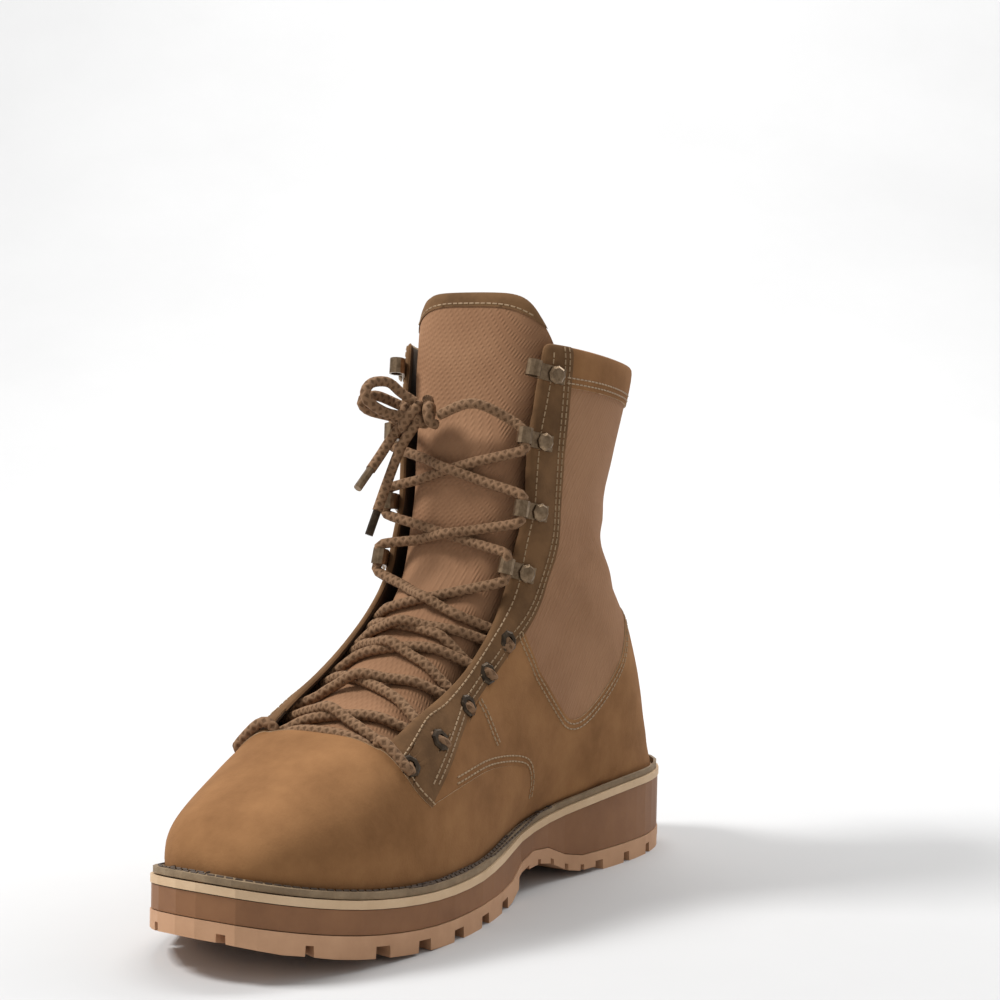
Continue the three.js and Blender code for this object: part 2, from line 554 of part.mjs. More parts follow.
const TREAD_X = 1.5;             // middle of the tread
function treadLugs() {
  const lugs = [];
  // Toe: five outer sectors round an inner ring of four.
  const hub = { x: -1, along: 53 };
  const sector = (from, to, inner, outer) => {
    const at = (radius, degrees) => {
      const angle = THREE.MathUtils.degToRad(degrees);
      return [hub.x + radius * Math.sin(angle), hub.along - radius * Math.cos(angle)];
    };
    return [at(inner, from), at(outer, from), at(outer, (from + to) / 2), at(outer, to), at(inner, to)];
  };
  const groove = 3.4;
  for (const [from, to] of [[-88, -52], [-52, -17], [-17, 17], [17, 52], [52, 88]]) {
    lugs.push(lug(sector(from + groove / 2, to - groove / 2, 26, 90)));
  }
  for (const [from, to] of [[-80, -40], [-40, 0], [0, 40], [40, 80]]) {
    lugs.push(lug(sector(from + groove, to - groove, 9, 21.5)));
  }
  // Ball: slanted side lugs with a toothed inner end, and small lugs between them.
  const sideStart = 56;
  const sidePitch = 22.6;
  const sideWidth = 17;
  for (const side of [1, -1]) {
    for (let i = 0; i < 5; i += 1) {
      const from = sideStart + i * sidePitch + (side < 0 ? 4 : 0);
      const x = (reach) => TREAD_X + side * reach;
      lugs.push(lug([
        [x(23), from + 7], [x(30), from + 4], [x(PAST_EDGE), from - 5], [x(PAST_EDGE), from + sideWidth - 5],
        [x(30), from + sideWidth + 2], [x(20), from + sideWidth + 4],
      ]));
    }
    for (let i = 0; i < 5; i += 1) {
      const from = sideStart + 3 + i * sidePitch;
      const x = (reach) => TREAD_X + side * reach;
      lugs.push(lug([[x(1.8), from + 9], [x(16.5), from + 2.5], [x(17.5), from + 15], [x(1.8), from + 19]]));
    }
  }
  // Waist: ribbed blocks along both edges and a plain plaque between ribbed bars.
  const ribDepth = 2.4;
  for (const side of [1, -1]) {
    for (let i = 0; i < 5; i += 1) {
      const from = 175 + i * 10.4;
      const x = (reach) => TREAD_X + 2 + side * reach;
      lugs.push(lug([[x(17), from], [x(PAST_EDGE), from], [x(PAST_EDGE), from + 8.2], [x(17), from + 8.2]], ribDepth));
    }
  }
  const plaque = { x: TREAD_X + 2, along: 201, halfWide: 14, halfLong: 9.5, corner: 5 };
  const [w, l, c] = [plaque.halfWide, plaque.halfLong, plaque.corner];
  lugs.push(lug([[-w + c, -l], [w - c, -l], [w, -l + c], [w, l - c], [w - c, l], [-w + c, l], [-w, l - c], [-w, -l + c]]
    .map(([x, along]) => [plaque.x + x, plaque.along + along]), ribDepth));
  for (const along of [177, 183.4, 213.6, 220]) {
    lugs.push(lug([[TREAD_X - 10, along], [TREAD_X + 14, along], [TREAD_X + 14, along + 4.4],
      [TREAD_X - 10, along + 4.4]], ribDepth));
  }
  // Heel: side lugs, centre lugs and a rear block.
  const heelX = TREAD_X + 3.6;
  for (const side of [1, -1]) {
    for (let i = 0; i < 3; i += 1) {
      const from = 230 + i * 21;
      const x = (reach) => heelX + side * reach;
      lugs.push(lug([
        [x(13.5), from + 3], [x(20), from], [x(PAST_EDGE), from], [x(PAST_EDGE), from + 16],
        [x(22), from + 17], [x(14.5), from + 19],
      ]));
    }
    for (let i = 0; i < 2; i += 1) {
      const from = 231 + i * 21;
      const x = (reach) => heelX + side * reach;
      lugs.push(lug([[x(1.6), from + 7], [x(10), from], [x(11), from + 13], [x(1.6), from + 18]]));
    }
  }
  lugs.push(lug([[heelX - 13, 279], [heelX, 275], [heelX + 13, 279], [heelX + 17, 296], [heelX + 16, 330],
    [heelX - 16, 330], [heelX - 17, 296]]));
  for (const side of [1, -1]) {
    lugs.push(lug([[heelX + side * 21, 294], [heelX + side * 60, 290], [heelX + side * 60, 330],
      [heelX + side * 20, 330]]));
  }
  return lugs;
}

function outsole() {
  const plate = solid(slab(0, plateBottom, outsoleTop));
  const envelope = solid(slab(0, (y) => plateBottom(y) - LUG_DEPTH - 2, (y) => outsoleTop(y) - 1));
  const tread = wasm.Manifold.union(treadLugs()).intersect(envelope);
  return fromSolid(plate.add(tread));
}
place('outsole', outsole(), RUBBER_TAN());
place('runner', slab(0, runnerBottom, runnerTop), CREAM_EDGE());
place('midsole', slab(0.4, (y) => outsoleTop(y) + GAP, (y) => runnerBottom(y) - GAP), RUBBER_BROWN());
place('insole', slab((y) => ledge(y) + WALL + 2.2, (y) => upperBase(y), (y) => {
  return upperBase(y) + INSOLE_THICKNESS;
}), NYLON());

// The welt is a strip round the upper, on top of the runner.
const WELT_STEPS = 72;
function weltRing() {
  const lateralTurn = (i) => i / WELT_STEPS;
  const loops = [];
  for (let i = 0; i < WELT_STEPS; i += 1) {
    const at = lateralTurn(i);
    const point = rim.getPointAt(at);
    const tangent = rim.getTangentAt(at);
    const inward = new THREE.Vector3(-tangent.y, tangent.x, 0);
    const outer = point.clone().addScaledVector(inward, 0.9);
    const inner = point.clone().addScaledVector(inward, ledge(point.y) - WALL_SWELL - 0.6);
    const low = runnerTop(point.y) + GAP;
    loops.push([
      [outer.x, outer.y, low], [inner.x, inner.y, low],
      [inner.x, inner.y, low + WELT_THICKNESS], [outer.x, outer.y, low + WELT_THICKNESS],
    ]);
  }
  return loft(loops, true);
}
place('welt', weltRing(), WELT_GREY());

// ---------------------------------------------------------------- eyelets
// Places on the facing, seen from the side: y and z in the boot's frame.
const EYELETS = [
  { y: -75, z: 66 },
  { y: -55.5, z: 73.2 },
  { y: -31.6, z: 83 },
  { y: -15, z: 93.5 },
  { y: 0, z: 104.7 },
];
const CLIPS = [
  { y: 12.6, z: 129.6 },
  { y: 17.4, z: 154 },
  { y: 21.4, z: 182.4 },
  { y: 27, z: 210.8 },
];
const EYELET_BORE = 2.2;
const EYELET_BARREL = 3.1;
const EYELET_FLANGE = 4.5;
const EYELET_SEAT = 0.45;         // flange's underside above the wall

// Row and turn of the wall's point at a given height and distance, seen from the side.
function wallAt(y, z, side) {
  let [row, turn] = [12, 0.5];
  const step = 0.01;
  for (let i = 0; i < 60; i += 1) {
    const here = lastPoint(row, turn, side);
    const byRow = lastPoint(row + step, turn, side).sub(here).divideScalar(step);
    const byTurn = lastPoint(row, turn + step, side).sub(here).divideScalar(step);
    const [dy, dz] = [y - here.y, z - here.z];
    const scale = byRow.y * byTurn.z - byRow.z * byTurn.y;
    const rowMove = (dy * byTurn.z - dz * byTurn.y) / scale;
    const turnMove = (byRow.y * dz - byRow.z * dy) / scale;
    row = THREE.MathUtils.clamp(row + THREE.MathUtils.clamp(rowMove, -1, 1), THROAT_ROW, COLLAR_ROW);
    turn = THREE.MathUtils.clamp(turn + THREE.MathUtils.clamp(turnMove, -0.1, 0.1), 0.05, 0.95);
  }
  return { row, turn };
}

// Axes at a place on the wall: towards the facing edge, along it, and out of the wall.
function wallFrame(at, side) {
  const out = lastNormal(at.row, at.turn, side);
  const edge = (row) => lastPoint(row, facingTurn(row, side), side);
  const along = edge(at.row + 0.5).sub(edge(at.row - 0.5));
  const forward = along.cross(out).multiplyScalar(-side).normalize();
  const up = new THREE.Vector3().crossVectors(out, forward);
  return new THREE.Matrix4().makeBasis(forward, up, out).setPosition(lastPoint(at.row, at.turn, side));
}

const LATHE_SIDES = 8;
function eyelet(at, side) {
  const foot = -WALL - 0.6;
  const profile = [
    [EYELET_BORE, foot], [EYELET_BARREL, foot], [EYELET_BARREL, EYELET_SEAT], [EYELET_FLANGE, EYELET_SEAT],
    [EYELET_FLANGE, EYELET_SEAT + 0.6], [EYELET_FLANGE - 0.9, EYELET_SEAT + 1.1], [EYELET_BORE, EYELET_SEAT + 1.1], [EYELET_BORE, foot],
  ].map(([radius, height]) => new THREE.Vector2(radius, height));
  const ring = new THREE.LatheGeometry(profile, LATHE_SIDES);
  ring.rotateX(Math.PI / 2);
  return ring.applyMatrix4(wallFrame(at, side));
}

const sides = [{ side: 1, name: 'medial' }, { side: -1, name: 'lateral' }];
let upperBody = solid(upperGeometry);
for (const { side, name } of sides) {
  EYELETS.forEach((spot, i) => {
    const at = wallAt(spot.y, spot.z, side);
    place(`eyelet_${name}_${i + 1}`, eyelet(at, side), EYELET_BROWN());
    const drill = new THREE.CylinderGeometry(EYELET_BARREL + GAP, EYELET_BARREL + GAP, 4 * WALL, LATHE_SIDES);
    drill.rotateX(Math.PI / 2);
    upperBody = upperBody.subtract(solid(drill.applyMatrix4(wallFrame(at, side))));
  });
}
place('upper', fromSolid(upperBody), ROUGHOUT());

// ---------------------------------------------------------------- lace clips and rivets
const CLIP_HEIGHT = 6.5;
const CLIP_SEAT = 0.3;           // extra room between strap and wall
const CLIP_STRAP = 1.1;
const CLIP_RING = 3.2;
const CLIP_BORE = LACE_RADIUS + GAP;
const CLIP_TAIL = 4.2;           // strap behind the rivet's middle
const RING_REACH = 6;            // ring's middle ahead of the facing edge
const RIVET_RADIUS = 3.8;

// The clip's plane touches the wall halfway between the rivet and the facing edge.
function clipFrame(spot, side) {
  const at = wallAt(spot.y, spot.z, side);
  const edge = facingTurn(at.row, side);
  const middle = { row: at.row, turn: (at.turn + edge) / 2 };
  const frame = wallFrame(middle, side);
  frame.multiply(new THREE.Matrix4().makeTranslation(0, 0, CLIP_SEAT));
  const local = (turn) => lastPoint(at.row, turn, side).applyMatrix4(frame.clone().invert()).x;
  return { frame, rivet: local(at.turn), ring: local(edge) + RING_REACH, row: at.row };
}
function clip({ frame, rivet, ring }) {
  const top = GAP + CLIP_STRAP;
  const level = GAP + CLIP_RING;
  const meet = Math.asin((top - level) / CLIP_RING);
  const profile = new THREE.Shape();
  profile.moveTo(rivet - CLIP_TAIL, top);
  profile.lineTo(rivet - CLIP_TAIL, GAP);
  profile.lineTo(ring, GAP);
  profile.absarc(ring, level, CLIP_RING, -Math.PI / 2, Math.PI - meet, false);
  const bore = new THREE.Path();
  bore.absarc(ring, level, CLIP_BORE, 0, 2 * Math.PI, true);
  profile.holes.push(bore);
  const body = new THREE.ExtrudeGeometry(profile, { depth: CLIP_HEIGHT, bevelEnabled: false, curveSegments: 5 });
  body.translate(0, 0, -CLIP_HEIGHT / 2);
  body.rotateX(Math.PI / 2);
  return body.applyMatrix4(frame);
}
function rivet(frame, along) {
  const base = 2 * GAP + CLIP_STRAP;
  const dome = new THREE.LatheGeometry([
    [0, base], [RIVET_RADIUS, base], [RIVET_RADIUS, base + 0.5], [RIVET_RADIUS - 1, base + 1.4], [0, base + 1.8],
  ].map(([radius, height]) => new THREE.Vector2(radius, height)), LATHE_SIDES);
  dome.rotateX(Math.PI / 2);
  return dome.translate(along, 0, 0).applyMatrix4(frame);
}
const clips = { medial: [], lateral: [] };
for (const { side, name } of sides) {
  CLIPS.forEach((spot, i) => {
    const holder = clipFrame(spot, side);
    clips[name].push(holder);
    place(`clip_${name}_${i + 1}`, clip(holder), METAL());
    place(`rivet_${name}_${i + 1}`, rivet(holder.frame, holder.rivet), METAL());
  });
}

// ---------------------------------------------------------------- lace
const LACE_SIDES = 8;
const UNDER = 0.1;              // height over the wall's surface where one strand dips
const OVER = 2.6;                // and where the other rides over it
const OVER_EDGE = LACE_RADIUS + 0.7;
const BELOW_EDGE = -3.3;
const LACE_STEPS = 8;

function tube(points, steps, radius = LACE_RADIUS) {
  const round = new THREE.Shape();
  round.absarc(0, 0, radius, 0, 2 * Math.PI, false);
  const path = new THREE.CatmullRomCurve3(points, false, 'centripetal');
  return new THREE.ExtrudeGeometry(round, {
    steps, extrudePath: path, bevelEnabled: false, curveSegments: LACE_SIDES / 2,
  });
}

// A lace stop on one side: where it lies on the wall, and the row whose edge is nearest.
function edgeRow(point, side) {
  let [best, least] = [THROAT_ROW, Infinity];
  for (let row = THROAT_ROW; row <= COLLAR_ROW; row += 0.05) {
    const away = lastPoint(row, facingTurn(row, side), side).distanceTo(point);
    if (away < least) [best, least] = [row, away];
  }
  return best;
}
function stopAt(index, side) {
  if (index < EYELETS.length) {
    const at = wallAt(EYELETS[index].y, EYELETS[index].z, side);
    return { side, turn: at.turn, row: edgeRow(lastPoint(at.row, at.turn, side), side) };
  }
  const { frame, ring } = clips[side > 0 ? 'medial' : 'lateral'][index - EYELETS.length];
  const middle = new THREE.Vector3(ring, 0, GAP + CLIP_RING).applyMatrix4(frame);
  const up = new THREE.Vector3(0, 1, 0).transformDirection(frame);
  if (up.z < 0) up.negate();
  return { side, row: edgeRow(middle, side), middle, up };
}

// Point over the throat: reach runs from 0 on the ridge to 1 at the facing edge, and on to 2
// at the eyelet.
function lacePoint(stop, reach, row, height) {
  const gap = column(LAST_ROWS, 'gap', row);
  const edge = facingTurn(row, stop.side, gap * Math.min(0, reach - 1));
  const turn = THREE.MathUtils.lerp(edge, stop.turn ?? edge, Math.max(0, reach - 1));
  return wallPoint(row, turn, stop.side, -height);
}

// Ends of a strand, listed from the throat outwards.
function leavingUnder() {
  return [[0.6, -0.2], [0.93, BELOW_EDGE]].map(([reach, height]) => ({ reach, height }));
}
function arrivingOver() {
  return [[0.6, 1.6], [0.95, OVER_EDGE], [1.2, OVER_EDGE], [1.4, OVER_EDGE]]
    .map(([reach, height]) => ({ reach, height }));
}
function ringEnd(stop, sign) {
  const clear = CLIP_HEIGHT / 2 + 0.6;
  return [clear + 4, clear].map((away) => stop.middle.clone().addScaledVector(stop.up, sign * away));
}

// One strand from the inside of a stop to the outside of the next one, on the other side.
function strand(from, to, height) {
  const span = to.row - from.row;
  const share = (reach) => from.row + span * (0.5 + reach / 4);
  const first = from.middle
    ? [lacePoint(from, 0.55, share(-0.55), 1.8), ...ringEnd(from, 1)]
    : leavingUnder().map(({ reach, height: h }) => lacePoint(from, reach, share(-reach), h));
  const last = to.middle
    ? [lacePoint(to, 0.55, share(0.55), 1.8), ...ringEnd(to, -1)]
    : arrivingOver().map(({ reach, height: h }) => lacePoint(to, reach, share(reach), h));
  const ridge = lacePoint(from, 0, share(0), height);
  return solid(tube([...first.reverse(), ridge, ...last], LACE_STEPS));
}
const STOPS_LACED = EYELETS.length + 3;
for (let i = 0; i < STOPS_LACED - 1; i += 1) {
  const over = i % 2 ? 1 : -1;
  const top = strand(stopAt(i, over), stopAt(i + 1, -over), OVER);
  const bottom = strand(stopAt(i, -over), stopAt(i + 1, over), UNDER);
  place(`lace_cross_${i + 1}`, fromSolid(top.add(bottom)), LACE());
}

// The lowest bar runs straight across, over both facings.
const barRow = stopAt(0, 1).row;
const BAR_LIFT = 1;
const barSide = (side) => arrivingOver().map(({ reach, height }) => {
  return lacePoint(stopAt(0, side), reach, barRow, height + BAR_LIFT);
});
place('lace_bar', tube([
  ...barSide(-1).reverse(), lacePoint(stopAt(0, 1), 0, barRow, OVER + BAR_LIFT), ...barSide(1),
], 12), LACE());

// ---------------------------------------------------------------- knot, loops and ends
const vectors = (rows) => rows.map((row) => new THREE.Vector3(...row));
const KNOT = { middle: [-7.5, -0.5, 194], size: [10, 5, 6.2] };
const knotBody = new THREE.SphereGeometry(1, 10, 6);
knotBody.scale(...KNOT.size);
knotBody.translate(...KNOT.middle);
place('lace_knot', knotBody, LACE());
const LOOSE = {
  loop_small: [[-17.6, -3, 197], [-21.9, -12, 201.1], [-24.5, -17, 198.6], [-22.9, -12, 195.1], [-17.9, -2, 192.4]],
  loop_large: [[-12.5, -7, 199.6], [-15.9, -11.5, 205.4], [-19.5, -19, 205], [-18.4, -22, 199.5],
    [-15.9, -14.5, 194.6], [-12, -7.4, 193.2]],
  end_short: [[-14.6, -3.6, 188], [-17.9, -6, 184], [-20.9, -9.5, 176.9], [-21.6, -14.5, 171.9]],
  end_long: [[-9.4, -3.2, 186.6], [-14, -4.4, 180.2], [-18.5, -7, 167], [-20.6, -10.8, 155.4]],
};
const AGLET_RADIUS = 1.7;
const AGLET_LENGTH = 11;
for (const [name, rows] of Object.entries(LOOSE)) {
  const points = vectors(rows);
  place(`lace_${name}`, tube(points, name.startsWith('loop') ? 12 : 7), LACE());
  if (name.startsWith('end')) {
    const along = points.at(-1).clone().sub(points.at(-2)).normalize();
    const start = points.at(-1).clone().addScaledVector(along, GAP);
    place(`aglet_${name.slice(4)}`, tube([start, start.clone().addScaledVector(along, AGLET_LENGTH / 2),
      start.clone().addScaledVector(along, AGLET_LENGTH)], 2, AGLET_RADIUS), METAL());
  }
}
// Ties from the third clips to the knot.
const thirdClip = (side) => stopAt(STOPS_LACED - 1, side);
place('lace_tie_medial', tube([
  ...ringEnd(thirdClip(1), 1).reverse(), new THREE.Vector3(17, 1.5, 199), new THREE.Vector3(4.5, -0.5, 194.4),
], 9), LACE());
place('lace_tie_lateral', tube([
  ...ringEnd(thirdClip(-1), 1).reverse(), new THREE.Vector3(-19.4, 1.5, 192.4),
], 6), LACE());

export default boot;
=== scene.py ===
import math

import bmesh
import bpy
from mathutils import Matrix, Vector
from mathutils.bvhtree import BVHTree


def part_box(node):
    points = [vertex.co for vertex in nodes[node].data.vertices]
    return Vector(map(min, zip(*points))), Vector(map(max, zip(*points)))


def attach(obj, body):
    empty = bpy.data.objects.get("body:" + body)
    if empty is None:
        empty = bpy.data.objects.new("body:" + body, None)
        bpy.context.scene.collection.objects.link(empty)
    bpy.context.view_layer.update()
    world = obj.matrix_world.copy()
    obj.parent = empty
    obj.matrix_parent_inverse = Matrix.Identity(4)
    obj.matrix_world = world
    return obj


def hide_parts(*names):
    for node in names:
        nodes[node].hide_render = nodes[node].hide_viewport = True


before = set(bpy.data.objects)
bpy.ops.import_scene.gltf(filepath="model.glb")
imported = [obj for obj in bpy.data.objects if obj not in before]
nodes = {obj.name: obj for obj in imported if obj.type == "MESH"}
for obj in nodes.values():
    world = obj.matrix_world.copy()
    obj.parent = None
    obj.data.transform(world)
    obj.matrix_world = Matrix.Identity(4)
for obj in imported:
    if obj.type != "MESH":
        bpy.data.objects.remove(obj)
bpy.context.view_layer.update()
MM = 0.001


def select_only(obj):
    bpy.ops.object.select_all(action="DESELECT")
    obj.select_set(True)
    bpy.context.view_layer.objects.active = obj


def apply_all(obj):
    """The modifiers made part of the mesh, in their order."""
    select_only(obj)
    for modifier in list(obj.modifiers):
        bpy.ops.object.modifier_apply(modifier=modifier.name)


def twin(source, name):
    """A second object with a mesh of its own."""
    obj = source.copy()
    obj.data = source.data.copy()
    obj.name = obj.data.name = name
    bpy.context.scene.collection.objects.link(obj)
    return obj


def copy_of(node, name):
    """A merged copy of a CAD node's mesh."""
    obj = twin(nodes[node], name)
    obj.parent = None
    obj.data.materials.clear()
    mesh = bmesh.new()
    mesh.from_mesh(obj.data)
    bmesh.ops.remove_doubles(mesh, verts=mesh.verts, dist=0.00002)
    mesh.to_mesh(obj.data)
    mesh.free()
    return obj


def tree_of(*pieces):
    """The pieces' surfaces, to be met by rays."""
    joined = bmesh.new()
    for piece in pieces:
        joined.from_mesh(piece.data)
    tree = BVHTree.FromBMesh(joined)
    joined.free()
    return tree


def ramp_between(tree, factor, dark, light, low=0.35, high=0.65):
    """A colour between dark and light by the factor."""
    ramp = tree.nodes.new("ShaderNodeValToRGB")
    ramp.color_ramp.elements[0].position = low
    ramp.color_ramp.elements[1].position = high
    ramp.color_ramp.elements[0].color = (*dark, 1)
    ramp.color_ramp.elements[1].color = (*light, 1)
    tree.links.new(factor, ramp.inputs["Fac"])
    return ramp.outputs["Color"]


def noise(tree, coordinates, scale, detail=4.0, rough=0.55):
    """Soft patches of that scale, from 0 to 1."""
    texture = tree.nodes.new("ShaderNodeTexNoise")
    texture.inputs["Scale"].default_value = scale
    texture.inputs["Detail"].default_value = detail
    texture.inputs["Roughness"].default_value = rough
    tree.links.new(coordinates, texture.inputs["Vector"])
    return texture.outputs["Fac"]


def finish_of(name, dark, light, roughness, patches=30, grain=700, bump=0.3, depth=0.0004, metallic=0.0,
              sheen=0.0, pattern=None, woven=False):
    """A finish that wavers between two colours, with a fine grain in relief."""
    material = bpy.data.materials.new(name)
    material.use_nodes = True
    tree = material.node_tree
    shader = tree.nodes["Principled BSDF"]
    shader.inputs["Roughness"].default_value = roughness
    shader.inputs["Metallic"].default_value = metallic
    shader.inputs["Specular IOR Level"].default_value = 0.2 if roughness > 0.75 else 0.5
    if sheen:
        shader.inputs["Sheen Weight"].default_value = sheen
        shader.inputs["Sheen Roughness"].default_value = 0.45
        shader.inputs["Sheen Tint"].default_value = (*light, 1)
    place = tree.nodes.new("ShaderNodeTexCoord")
    here = place.outputs["Object"]
    height = pattern(tree, place) if pattern else noise(tree, here, grain, 3.0)
    colour = ramp_between(tree, height if woven else noise(tree, here, patches, 5.0, 0.62), dark, light)
    tree.links.new(colour, shader.inputs["Base Color"])
    relief = tree.nodes.new("ShaderNodeBump")
    relief.inputs["Strength"].default_value = bump
    relief.inputs["Distance"].default_value = depth
    tree.links.new(height, relief.inputs["Height"])
    tree.links.new(relief.outputs["Normal"], shader.inputs["Normal"])
    return material


def bands(tree, coordinates, scale, turn):
    """Straight ribs across the coordinates, turned about X."""
    mapping = tree.nodes.new("ShaderNodeMapping")
    mapping.inputs["Rotation"].default_value = turn
    tree.links.new(coordinates, mapping.inputs["Vector"])
    wave = tree.nodes.new("ShaderNodeTexWave")
    wave.inputs["Scale"].default_value = scale
    wave.inputs["Distortion"].default_value = 0.6
    wave.inputs["Detail Scale"].default_value = 3.0
    tree.links.new(mapping.outputs["Vector"], wave.inputs["Vector"])
    return wave.outputs["Fac"]


def twill(tree, place):
    """Two sets of slanting ribs that cross, as in a coarse twill."""
    first = bands(tree, place.outputs["Object"], 170, (0, math.radians(35), math.radians(45)))
    second = bands(tree, place.outputs["Object"], 260, (0, math.radians(-50), math.radians(-40)))
    both = tree.nodes.new("ShaderNodeMath")
    both.operation = "MULTIPLY"
    tree.links.new(first, both.inputs[0])
    tree.links.new(second, both.inputs[1])
    return both.outputs["Value"]


def give(obj, material):
    """The material, in place of all that the object had."""
    obj.data.materials.clear()
    obj.data.materials.append(material)


# ---------------------------------------------------------------- camera, light and floor
# A boot on a pale sweep, seen from low down in front of its inner side.
AZIMUTH, ELEVATION, ROLL = math.radians(30.96), math.radians(2.88), math.radians(1.11)
EYE = Vector((0.44526, -0.69139, 0.20143))
camera = bpy.data.objects.new("camera", bpy.data.cameras.new("camera"))
bpy.context.scene.collection.objects.link(camera)
camera.data.sensor_width = 36
camera.data.lens = 73.26
back = Vector((
    math.sin(AZIMUTH) * math.cos(ELEVATION),
    -math.cos(AZIMUTH) * math.cos(ELEVATION),
    math.sin(ELEVATION),
))
level = Vector((math.cos(AZIMUTH), math.sin(AZIMUTH), 0))
right = level * math.cos(ROLL) + back.cross(level) * math.sin(ROLL)
turned = Matrix((right, back.cross(right), back)).transposed().to_4x4()
camera.matrix_world = Matrix.Translation(EYE) @ turned
bpy.context.scene.camera = camera
bpy.context.scene.view_settings.view_transform = "Standard"

# The sweep is one sheet: a floor whose far edge is turned up, with a wide bend.
bpy.ops.mesh.primitive_plane_add(size=6)
floor = bpy.context.object
floor.name = "floor"
bpy.ops.object.mode_set(mode="EDIT")
bpy.ops.mesh.select_all(action="DESELECT")
bpy.ops.object.mode_set(mode="OBJECT")
for edge in floor.data.edges:
    edge.select = all(floor.data.vertices[v].co.y > 0 for v in edge.vertices)
bpy.ops.object.mode_set(mode="EDIT")
bpy.ops.mesh.extrude_region_move(TRANSFORM_OT_translate={"value": (0, 0, 4)})
bpy.ops.object.mode_set(mode="OBJECT")
sweep = floor.modifiers.new("sweep", "BEVEL")
sweep.width, sweep.segments = 2.0, 24
apply_all(floor)
floor.rotation_euler.z = AZIMUTH
bpy.ops.object.transform_apply(rotation=True)
bpy.ops.object.shade_smooth()
give(floor, finish_of("pale_floor", (0.60, 0.60, 0.60), (0.62, 0.62, 0.62), 0.9, patches=3, bump=0.0))

world = bpy.data.worlds.new("studio")
bpy.context.scene.world = world
world.use_nodes = True
world.node_tree.nodes["Background"].inputs["Color"].default_value = (1, 1, 1, 1)
world.node_tree.nodes["Background"].inputs["Strength"].default_value = 0.45


def soft_light(name, place, aim, size, power):
    """A square soft box of that size, aimed at a point."""
    lamp = bpy.data.objects.new(name, bpy.data.lights.new(name, "AREA"))
    lamp.data.size = size
    lamp.data.energy = power
    lamp.location = place
    lamp.rotation_euler = (Vector(aim) - Vector(place)).to_track_quat("-Z", "Y").to_euler()
    bpy.context.scene.collection.objects.link(lamp)


soft_light("key", (-0.95, -0.75, 1.5), (0, 0, 0.1), 0.5, 30)
soft_light("backdrop", (-0.3, 0.9, 2.6), (-1.3, 2.4, 1.2), 1.6, 70)
soft_light("rim", (0.4, 1.2, 1.3), (0, 0, 0.1), 0.8, 10)

# ---------------------------------------------------------------- upper: the shell
# One closed wall of woven nylon backed by lining cloth, drawn over a last. The leather
# panels are sewn on top of it. It is made from the frame's own shell, smoothed and creased.
NYLON = finish_of("nylon_twill", (0.27, 0.137, 0.070), (0.345, 0.185, 0.098), 0.85, patches=18, sheen=0.25,
                  bump=0.55, depth=0.00035, pattern=twill)
LINING = finish_of("lining_cloth", (0.06, 0.042, 0.028), (0.085, 0.06, 0.04), 0.95, grain=1500, sheen=0.2)
FIRM_BELOW, LOOSE_ABOVE = 58, 74     # heights between which the smoothed shell grows free, mm
FITTING_ROUNDS = 3
RIM_FACES_DOWN = -0.85


def firmness(point):
    """How closely the smoothed shell keeps to the CAD surface: fully, near the sole."""
    return min(1, max(0, (LOOSE_ABOVE - point.z / MM) / (LOOSE_ABOVE - FIRM_BELOW)))


def smooth_shell(node, name, levels):
    """A CAD node's shell, rounded, with its foot kept sharp and in its place."""
    obj = copy_of(node, name)
    select_only(obj)
    bpy.ops.object.mode_set(mode="EDIT")
    bpy.ops.mesh.select_all(action="SELECT")
    bpy.ops.mesh.tris_convert_to_quads(face_threshold=math.radians(50), shape_threshold=math.radians(60))
    bpy.ops.object.mode_set(mode="OBJECT")
    rim = bmesh.new()
    rim.from_mesh(obj.data)
    rim.normal_update()
    crease = rim.edges.layers.float.get("crease_edge") or rim.edges.layers.float.new("crease_edge")
    for edge in rim.edges:
        down = [face.normal.z < RIM_FACES_DOWN for face in edge.link_faces]
        low = max(v.co.z for v in edge.verts) < FIRM_BELOW * MM
        if low and len(down) == 2 and down[0] != down[1]:
            edge[crease] = 1.0
    rim.to_mesh(obj.data)
    rim.free()
    rounder = obj.modifiers.new("round", "SUBSURF")
    rounder.levels = rounder.render_levels = levels
    wanted = [v.co.copy() for v in obj.data.vertices]
    for _ in range(FITTING_ROUNDS):
        trial = obj.evaluated_get(bpy.context.evaluated_depsgraph_get()).to_mesh()
        reached = [trial.vertices[k].co.copy() for k in range(len(wanted))]
        for vertex, want, got in zip(obj.data.vertices, wanted, reached):
            vertex.co += (want - got) * firmness(want)
        obj.data.update()
    apply_all(obj)
    bpy.ops.object.shade_smooth()
    return obj


def core(point):
    """The nearest place on the line down the middle of the leg and along the foot."""
    if point.z > 0.105:
        return Vector((0.0031, 0.062, point.z))
    return Vector((0.001, min(max(point.y, -0.118), 0.115), 0.048))


def faces_out(face):
    """Whether a face of the shell is on its outer side."""
    away = face.calc_center_median() - core(face.calc_center_median())
    return face.normal.dot(away.normalized()) > 0.12


# Each crease seen from the side, in mm: y, z, half length, half width, depth, and its lean in
# degrees. A low ridge lies beside each trough.
CREASES = [
    [-92, 50, 14, 3.2, 0.7, 60], [-84, 46, 15, 3.0, 0.8, 70], [-66, 45, 14, 3.4, 0.7, 80],
    [-8, 72, 16, 4.0, 0.8, 115], [28, 96, 20, 4.5, 1.2, 35], [40, 110, 22, 5.0, 1.2, 25],
    [48, 132, 22, 5.0, 1.0, 15], [60, 84, 20, 4.6, 1.0, 50], [92, 118, 16, 5.0, 1.1, -20],
    [88, 140, 18, 5.5, 0.9, -12], [70, 160, 22, 7.0, 0.9, 6],
]


